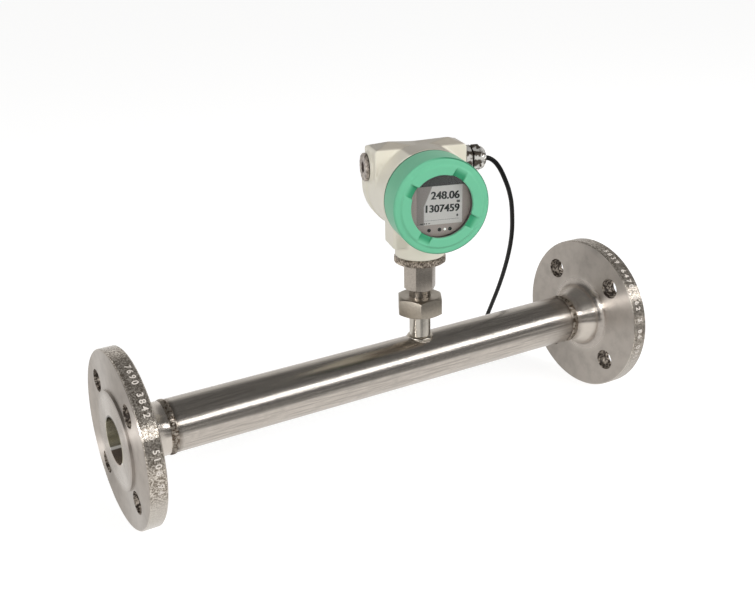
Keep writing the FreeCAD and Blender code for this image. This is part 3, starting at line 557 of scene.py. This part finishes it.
def joined(*meshes):
    """One mesh from several, with their smoothness kept."""
    work = bmesh.new()
    for mesh in meshes:
        work.from_mesh(mesh)
    result = bpy.data.meshes.new(meshes[0].name + "_joined")
    work.to_mesh(result)
    work.free()
    return result


def weld_scale(length, width, height):
    """One scale of a bead, its length along Y, leaning on the one before it."""
    work = bmesh.new()
    bmesh.ops.create_uvsphere(work, u_segments=14, v_segments=8, radius=1.0)
    work.transform(Matrix.Rotation(math.radians(14.0), 4, "Z")
                   @ Matrix.Diagonal((height, length, width, 1.0)))
    mesh = bpy.data.meshes.new("weld_scale")
    work.to_mesh(mesh)
    work.free()
    mesh.shade_smooth()
    return mesh


for node_name, middle in zip(("inlet_weld", "outlet_weld"), weld_middles):
    scales = ring_mesh(node_name, weld_scale(2.0 * mm, 2.3 * mm, 0.4 * mm), 62,
                       pipe_radius + 0.12 * mm, 0.2, bead_steel)
    scales.transform(Matrix.Translation((middle, 0, 0)) @ Matrix.Rotation(math.pi / 2, 4, "Y"))
    bead = merged(node_name)
    for vertex in bead.vertices:
        radius = math.hypot(vertex.co.y, vertex.co.z)
        if radius > pipe_radius:
            lower = (pipe_radius + (radius - pipe_radius) * bead_height) / radius
            vertex.co = (vertex.co.x, vertex.co.y * lower, vertex.co.z * lower)
    piece(node_name + "_finished", joined(bead, scales), bead_steel, "weld_metal", node_name)


# Branch stub: a short stainless stub that is saddled on the pipe. It is turned down from the
# thread at its top, which takes the union nut.
branch_centre = (branch_x, 0.0, 0.0)
bright_steel, *_ = machined("bright_steel", tone(200, 195, 186), 0.2, axis="Z",
                            centre=branch_centre, spacing=0.3 * mm, directional=0.4)
smooth_part("branch_stub", bright_steel, "bright_steel")


# Branch weld: the fillet bead of stainless metal that joins stub and pipe. It is laid by hand in
# small scales and follows the saddle round the foot of the stub.
saddle_bead, *_ = machined("saddle_bead", tone(196, 188, 176), 0.24, axis="Z",
                           centre=branch_centre, spacing=0.8 * mm)
bead_circle = 10.0 * mm
scales = ring_mesh("branch_weld", weld_scale(1.3 * mm, 1.0 * mm, 1.5 * mm), 40, bead_circle, 0.3,
                   saddle_bead)
for vertex in scales.vertices:
    x, y, z = vertex.co
    vertex.co = (x + branch_x, y, z + math.sqrt(pipe_radius ** 2 - y * y))
piece("branch_weld_finished", joined(merged("branch_weld"), scales), saddle_bead, "weld_metal",
      "branch_weld")


# Union: a flat rubber gasket on the end of the stub, and the stainless hexagon nut that pulls the
# adapter down on it. The nut is turned from bar, and its edges are broken.
seal_rubber = grained("seal_rubber", tone(34, 34, 35), 0.7)
nut_steel, *_ = machined("nut_steel", tone(174, 166, 154), 0.34, axis="Z", centre=branch_centre,
                         spacing=0.3 * mm, directional=0.3, stain=2.2 * mm)
smooth_part("union_gasket", seal_rubber, "seal_rubber")


def edged(node_name, width):
    """Copy of a part with its sharp edges broken, as a file or a turning tool leaves them."""
    shape = in_scene(node_name + "_sharp", merged(node_name))
    edge = shape.modifiers.new("edge", "BEVEL")
    edge.width = width
    edge.segments = 2
    edge.limit_method = "ANGLE"
    edge.angle_limit = math.radians(25.0)
    mesh = as_mesh(shape)
    mesh.set_sharp_from_angle(angle=math.radians(24.0))
    return mesh


piece("union_nut_edged", edged("union_nut", 0.35 * mm), nut_steel, "bright_steel", "union_nut")


# Neck adapter: one piece of stainless hexagon bar. It is screwed into the housing above it, and
# the union nut holds its lower collar.
adapter_steel, *_ = machined("adapter_steel", tone(182, 174, 165), 0.28, axis="Z",
                             centre=branch_centre, spacing=0.3 * mm, directional=0.3,
                             stain=2.2 * mm)
piece("neck_adapter_edged", edged("neck_adapter", 1.5 * mm), adapter_steel, "bright_steel",
      "neck_adapter")


# Base collar: a dark metal lock ring with an upright knurl, worn bright in places. It is screwed
# up against the housing, between that and the adapter.
collar_metal, tree, surface = finish("collar_metal", tone(130, 118, 106), 0.34, 0.85)
worn = step_between(tree, noise(tree, 620.0), 0.4, 0.62)
tree.links.new(blend_colours(tree, worn, tone(116, 106, 97), tone(206, 194, 180)),
               surface.inputs["Base Color"])
collar_radius = 21.2 * mm
collar_middle = 91.5 * mm


def knurl_rib(length, width, height):
    """Upright ridge with a sharp back, its foot inside the ring."""
    work = bmesh.new()
    bmesh.ops.create_cone(work, cap_ends=True, segments=4, radius1=width, radius2=width,
                          depth=length)
    work.transform(Matrix.Diagonal((height / width, 1.0, 1.0, 1.0)))
    mesh = bpy.data.meshes.new("knurl_rib")
    work.to_mesh(mesh)
    work.free()
    return mesh


ribs = ring_mesh("base_collar", knurl_rib(4.4 * mm, 0.6 * mm, 0.5 * mm), 90,
                 collar_radius - 0.12 * mm, 0.06, collar_metal)
ribs.transform(Matrix.Translation((branch_x, 0, collar_middle)))
piece("base_collar_finished", joined(merged("base_collar"), ribs), collar_metal, "dark_collar",
      "base_collar")


# Probe: a drawn stainless tube that goes down through the union, with a slotted guard at its
# end. Two sensor pins are fixed in the guard, in the middle of the flow.
for node_name in ("probe_tube", "probe_guard", "heated_sensor", "temperature_sensor"):
    smooth_part(node_name, bright_steel, "bright_steel")


# Housing: an aluminium casting with cream powder coat: a barrel for the display, a flat-topped
# block with two conduit entries, a foot and a neck. Its edges are cast round, the flat top is
# painted darker as painted shade, and a plain cover is screwed on behind.
cream_coat = grained("cream_coat", tone(228, 223, 208), 0.36, grain=0.5 * mm, depth=0.02 * mm,
                     shade=0.95)
tree = cream_coat.node_tree
surface = tree.nodes["Principled BSDF"]
# The flat top is painted darker: painted shade.
painted_top_shade = step_between(tree, own_axes(tree)["Z"], 184.9 * mm, 186.0 * mm)
tree.links.new(blend_colours(tree, calc(tree, "MULTIPLY", painted_top_shade, 0.75),
                             fed_by(surface, "Base Color"), tone(150, 141, 130)),
               surface.inputs["Base Color"])


def cast(node_name, voxel, passes):
    """Copy of a part as it comes out of the mould, with every edge and inner corner eased."""
    shape = in_scene(node_name + "_mould", merged(node_name))
    skin = shape.modifiers.new("skin", "REMESH")
    skin.mode = "VOXEL"
    skin.voxel_size = voxel
    ease = shape.modifiers.new("ease", "SMOOTH")
    ease.factor = 0.5
    ease.iterations = passes
    mesh = as_mesh(shape)
    mesh.shade_smooth()
    return mesh


piece("housing_body_cast", cast("housing_body", 0.8 * mm, 5), cream_coat, "cream_paint",
      "housing_body")
smooth_part("rear_cover", cream_coat, "cream_paint")
smooth_part("front_o_ring", seal_rubber, "seal_rubber")


# Front cover: an aluminium ring, cast with four notches for a spanner, with light green powder
# coat. It is screwed on the barrel. Its notches and its right outer edge are painted darker as
# painted shade, and its edge at the skirt gap is painted dark as painted shadow.
head_turn = 17.0
head_height = 150.5 * mm
skirt_end = -28.4 * mm


def head_place(tree):
    """Position on the display as seen by someone who reads it, from the middle of the window."""
    place = add(tree, "ShaderNodeTexCoord").outputs["Object"]
    moved = add(tree, "ShaderNodeVectorMath", [(0, place), (1, (branch_x, 0, head_height))],
                operation="SUBTRACT").outputs[0]
    turned = add(tree, "ShaderNodeVectorRotate", [("Vector", moved),
                                                  ("Angle", math.radians(head_turn))],
                 rotation_type="Z_AXIS").outputs[0]
    return add(tree, "ShaderNodeSeparateXYZ", [(0, turned)]).outputs


green_coat = grained("green_coat", tone(112, 190, 153), 0.34, grain=0.5 * mm, depth=0.02 * mm,
                     shade=0.93)
tree = green_coat.node_tree
surface = tree.nodes["Principled BSDF"]
surface.inputs["Specular IOR Level"].default_value = 0.12
x, y, z = head_place(tree)
first_notch = math.radians(30.0)
ways = [calc(tree, "ABSOLUTE", calc(tree, "ADD", calc(tree, "MULTIPLY", x, math.cos(turn)),
                                    calc(tree, "MULTIPLY", z, math.sin(turn))))
        for turn in (-first_notch, math.pi / 2 - first_notch)]
# The notches are painted darker green: painted shade in the recesses.
painted_notch_shade = chain(tree, "MULTIPLY",
                 band(tree, y, (-58.7 * mm, -57.6 * mm), (-54.8 * mm, -55.4 * mm)),
                 step_between(tree, calc(tree, "MINIMUM", *ways), 5.6 * mm, 4.8 * mm),
                 step_between(tree, calc(tree, "MAXIMUM", *ways), 33.0 * mm, 27.0 * mm))
coat = blend_colours(tree, painted_notch_shade, fed_by(surface, "Base Color"), tone(58, 146, 106))
from_axis = distance(tree, x, z)
# The outer edge on the right side is painted darker: painted shade on the edge that faces away
# from the light.
painted_edge_shade = chain(tree, "MULTIPLY", step_between(tree, from_axis, 36.9 * mm, 37.5 * mm),
                  step_between(tree, y, -56.0 * mm, -56.8 * mm),
                  step_between(tree, x, -14.0 * mm, 8.0 * mm), 0.8)
# The cover is painted dark next to its skirt end: the painted shadow of the gap to the barrel.
painted_skirt_shadow = step_between(tree, y, skirt_end - 3.0 * mm, skirt_end - 2.2 * mm)
shaded = calc(tree, "MAXIMUM", painted_edge_shade, painted_skirt_shadow)
tree.links.new(blend_colours(tree, shaded, coat, tone(34, 104, 74)), surface.inputs["Base Color"])
piece("front_cover_cast", cast("front_cover", 0.5 * mm, 4), green_coat, "green_paint",
      "front_cover").visible_glossy = False


# Window: flat safety glass in the front cover. It lies between a silicone gasket and a metal
# ring that is screwed in behind it.
window_glass, tree, surface = finish("window_glass", (0.94, 0.97, 0.96, 1.0), 0.02)
surface.inputs["Transmission Weight"].default_value = 1.0
surface.inputs["IOR"].default_value = 1.46
tree.links.new(ranged(tree, noise(tree, 300.0), 0.0, 0.03), surface.inputs["Roughness"])
smooth_part("window_glass", window_glass, "window_glass")
grey_silicone = grained("grey_silicone", tone(104, 98, 95), 0.6)
smooth_part("window_gasket", grey_silicone, "seal_rubber")
ring_metal = grained("ring_metal", tone(116, 106, 102), 0.5, metallic=0.1)
smooth_part("glass_retaining_ring", ring_metal, "dark_collar")


# Display: a grey printed film with a liquid-crystal cell, three optical keys and a small lamp,
# clamped behind the window. The figures stand on the cell as dark segments.
to_head = (Matrix.Translation((branch_x, 0, 0))
           @ Matrix.Rotation(math.radians(-head_turn), 4, "Z")
           @ Matrix.Translation((0, 0, head_height)))
cell_front = -49.8 * mm
digit_share = 0.73

bezel_film, tree, surface = finish("bezel_film", tone(140, 130, 125), 0.5)
# Above the cell the film is painted near black: the painted shadow of the window ring's top edge.
painted_ring_shadow = ranged(tree, head_place(tree)["Z"], 0.0, 1.0, 14.6 * mm, 15.2 * mm)
film_tone = blend_colours(tree, noise(tree, 900.0), tone(182, 165, 158), tone(170, 153, 147))
tree.links.new(blend_colours(tree, painted_ring_shadow, film_tone, tone(22, 16, 16)),
               surface.inputs["Base Color"])
smooth_part("display_bezel", bezel_film, "bezel_plastic")

cell_face, tree, surface = finish("cell_face", tone(190, 186, 184), 0.35)
x, _, z = head_place(tree)
# Right of a slanted edge the cell is painted pale, left of it darker: a painted reflection in the
# window.
slant = calc(tree, "MAXIMUM", calc(tree, "MULTIPLY", calc(tree, "ADD", z, 1.0 * mm), 0.42), 0.0)
edge = calc(tree, "SUBTRACT", x, calc(tree, "ADD", slant, -12.6 * mm))
bright = ranged(tree, edge, 0.0, 1.0, -0.3 * mm, 0.5 * mm)
pale = blend_colours(tree, noise(tree, 700.0), tone(224, 216, 213), tone(212, 204, 201))
tree.links.new(blend_colours(tree, bright, tone(140, 128, 124), pale),
               surface.inputs["Base Color"])
smooth_part("lcd_panel", cell_face, "lcd_glass")

segment_ink = grained("segment_ink", tone(14, 11, 11), 0.8)


def digits(text, height, side, heavier, thickness=0.0):
    """Mesh of digits that stand on X from their side, the strokes heavier by so much."""
    data = bpy.data.curves.new("digits", "FONT")
    data.body = text
    data.align_x = side
    data.size = height / digit_share
    data.offset = heavier
    data.extrude = thickness
    return as_mesh(in_scene("digits", data))


def figures(text, right, base, height, weight):
    """Flat figures on the cell, set from their right end and drawn twice, the weight apart."""
    first = digits(text, height, "RIGHT", 0.14 * mm, 0.02 * mm)
    second = first.copy()
    for strokes, shift in ((first, -weight), (second, 0.0)):
        strokes.transform(to_head @ Matrix.Rotation(math.radians(1.5), 4, "Y")
                          @ Matrix.Translation((right + shift, cell_front - 0.03 * mm, base))
                          @ Matrix.Rotation(math.pi / 2, 4, "X"))
    return joined(first, second)


def bar(x0, x1, z0, z1):
    """Flat dark bar on the cell."""
    mesh = bpy.data.meshes.new("bar")
    y = cell_front - 0.05 * mm
    mesh.from_pydata([(x0, y, z0), (x1, y, z0), (x1, y, z1), (x0, y, z1)], [], [(0, 1, 2, 3)])
    mesh.transform(to_head)
    return mesh


lines = [
    figures("248.06", 16.3 * mm, 4.6 * mm, 6.2 * mm, 0.5 * mm),
    figures("1307459", 16.6 * mm, -5.6 * mm, 6.0 * mm, 0.5 * mm),
    figures("00", 16.4 * mm, 1.3 * mm, 1.8 * mm, 0.12 * mm),
    figures("0", 15.4 * mm, -9.8 * mm, 1.8 * mm, 0.12 * mm),
    bar(-12.0 * mm, 16.0 * mm, -12.1 * mm, -11.9 * mm),
    bar(-15.6 * mm, -13.2 * mm, -14.6 * mm, -13.9 * mm),
    bar(-12.6 * mm, -11.6 * mm, -14.6 * mm, -13.8 * mm),
    bar(-11.0 * mm, -10.0 * mm, -14.6 * mm, -13.8 * mm),
    bar(-9.0 * mm, -7.6 * mm, -14.6 * mm, -14.0 * mm),
]
piece("display_figures", joined(*lines), segment_ink, "lcd_glass")

key_ink = grained("key_ink", tone(10, 8, 8), 0.8)
smooth_part("touch_keys", key_ink, "key_plastic")
lamp_lens = grained("lamp_lens", tone(246, 246, 242), 0.2)
lens_surface = lamp_lens.node_tree.nodes["Principled BSDF"]
lens_surface.inputs["Emission Color"].default_value = tone(255, 255, 250)
lens_surface.inputs["Emission Strength"].default_value = 0.9
smooth_part("status_led", lamp_lens, "led_lens")


# Electronics: green boards of glass fibre on brass standoffs, held by plated screws, and in the
# rear chamber a moulded terminal block with screws of its own.
solder_mask = grained("solder_mask", tone(30, 92, 58), 0.4)
standoff_brass = grained("standoff_brass", tone(200, 168, 100), 0.3, metallic=1.0)
zinc_plate = grained("zinc_plate", tone(190, 190, 186), 0.3, metallic=1.0)
terminal_green = grained("terminal_green", tone(46, 120, 84), 0.45)
for node_name, material, slot in (
        ("display_board", solder_mask, "board"), ("main_board", solder_mask, "board"),
        ("terminal_board", solder_mask, "board"),
        ("display_standoffs", standoff_brass, "brass_standoff"),
        ("board_standoffs", standoff_brass, "brass_standoff"),
        ("terminal_standoffs", standoff_brass, "brass_standoff"),
        ("display_screws", zinc_plate, "small_screw"),
        ("terminal_screws", zinc_plate, "small_screw"),
        ("terminal_block", terminal_green, "terminal_plastic")):
    smooth_part(node_name, material, slot)


# Cable gland: a nickel-plated brass body, screwed into the right entry on a rubber washer, and a
# dome nut that squeezes a rubber sleeve round the lead.
nickel, tree, surface = finish("nickel", tone(220, 216, 210), 0.2, 0.7)
entry_middle = (14.0 * mm, 169.0 * mm - head_height)
nut_joint = 47.7 * mm
x, y, z = head_place(tree)
offsets = [calc(tree, "SUBTRACT", value, middle) for value, middle in zip((y, z), entry_middle)]
# The plating is painted in light and dark lobes round the entry's axis, and in patches: painted
# highlights and painted reflections.
highlight_lobes = calc(tree, "SINE", calc(tree, "MULTIPLY", calc(tree, "ARCTAN2", *offsets), 8.0))
shine = calc(tree, "ADD", calc(tree, "MULTIPLY", highlight_lobes, 0.12), noise(tree, 300.0, 2.0))
gloss = step_between(tree, shine, 0.4, 0.6)
groove = step_between(tree, calc(tree, "ABSOLUTE", calc(tree, "SUBTRACT", x, nut_joint)),
                      0.9 * mm, 0.5 * mm)
painted_highlights = blend_colours(tree, gloss, tone(96, 88, 80), tone(254, 252, 248))
tree.links.new(blend_colours(tree, groove, painted_highlights, tone(34, 30, 26)), surface.inputs["Base Color"])
smooth_part("gland_washer", seal_rubber, "seal_rubber")
smooth_part("gland_body", nickel, "nickel_brass")
smooth_part("gland_seal", seal_rubber, "seal_rubber")
smooth_part("gland_nut", nickel, "nickel_brass")


# Blind plug: a grey cast plug with a hexagon socket. It is screwed on a rubber seal into the left
# entry, which isn't used.
plug_grey, tree, surface = finish("plug_grey", tone(168, 160, 150), 0.4, 0.5)
_, y, z = head_place(tree)
offsets = [calc(tree, "SUBTRACT", value, middle) for value, middle in zip((y, z), entry_middle)]
cast_skin = step_between(tree, noise(tree, 420.0), 0.38, 0.62)
skin_tone = blend_colours(tree, cast_skin, tone(190, 179, 169), tone(122, 112, 106))
# The hexagon socket is painted darker: painted shade in the recess.
painted_socket_shade = step_between(tree, distance(tree, *offsets), 4.9 * mm, 4.4 * mm)
tree.links.new(blend_colours(tree, painted_socket_shade, skin_tone, tone(112, 102, 97)),
               surface.inputs["Base Color"])
smooth_part("plug_seal", seal_rubber, "seal_rubber")
smooth_part("blind_plug", plug_grey, "plug_plastic")


# Stamped figures: plain digits punched round the rim of each flange, coloured pale, rough and
# hardly metallic.
stamp_steel = grained("stamp_steel", tone(226, 218, 210), 0.6, metallic=0.1)
stamp_height = 4.9 * mm
stamp_rise = 0.06 * mm
stamp_pitch = math.radians(4.3)
first_stamp = math.radians(-72.0)


def stamped(text, rim_x):
    """Digits round a rim, read downwards on the display side."""
    meshes = []
    for index, digit in enumerate(text):
        if digit == " ":
            continue
        mesh = digits(digit, stamp_height, "CENTER", 0.15 * mm)
        angle = first_stamp + index * stamp_pitch
        for vertex in mesh.vertices:
            turn = angle + vertex.co.x / rim_radius
            radius = rim_radius + stamp_rise
            vertex.co = (rim_x + vertex.co.y, -radius * math.cos(turn), -radius * math.sin(turn))
        meshes.append(mesh)
    return joined(*meshes)


for name, text, rim_x in (("inlet_stamps", "7690 3842 96 5106 94", 8.2 * mm),
                          ("outlet_stamps", "5839 6470 962 3 86 0951", 463.2 * mm)):
    piece(name, stamped(text, rim_x), stamp_steel, "turned_steel")
